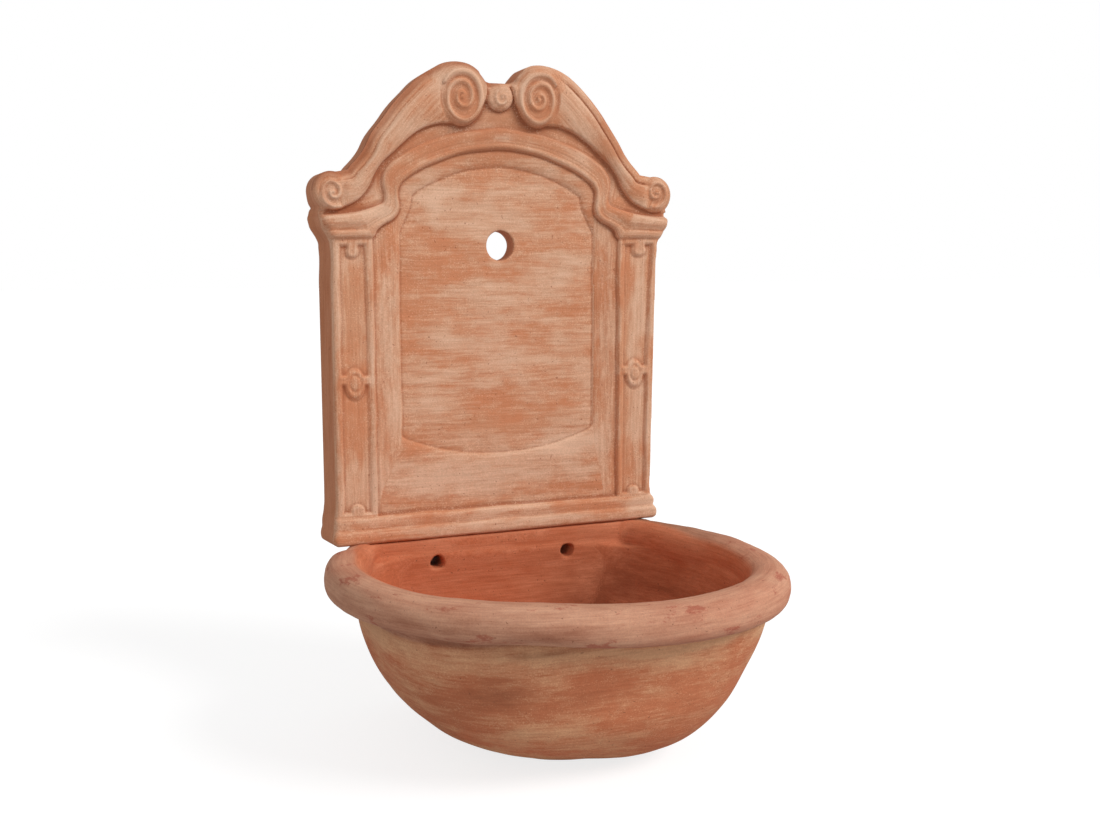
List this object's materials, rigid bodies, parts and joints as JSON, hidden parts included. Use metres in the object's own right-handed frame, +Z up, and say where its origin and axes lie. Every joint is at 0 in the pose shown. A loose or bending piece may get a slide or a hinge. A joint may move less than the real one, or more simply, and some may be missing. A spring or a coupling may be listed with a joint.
{
  "type": "wall fountain",
  "caption": "Terracotta garden wall fountain: a moulded backplate with scrolled pediment, pilasters and a tap hole stands on the back wall of a half-round basin with a rolled rim",
  "frame": {"origin": "centre of the footprint box on the ground; the house wall is the plane at the back of the box", "axes": "+Z up, -Y away from the house wall, X across, the object mirrored about X = 0"},
  "size_m": [0.4988, 0.42, 0.7555],
  "materials": {
    "backplate_clay": "matt, brushed fired clay",
    "basin_clay": "matt, brushed fired clay"
  },
  "bodies": {
    "basin": {"basin": "basin_clay"},
    "backplate": {"backplate": "backplate_clay"}
  },
  "joints": [
    {"name": "backplate_lift", "type": "slide", "parent": "basin", "child": "backplate", "axis": [0, 0, 1], "range_m": [0, 0.12]}
  ]
}
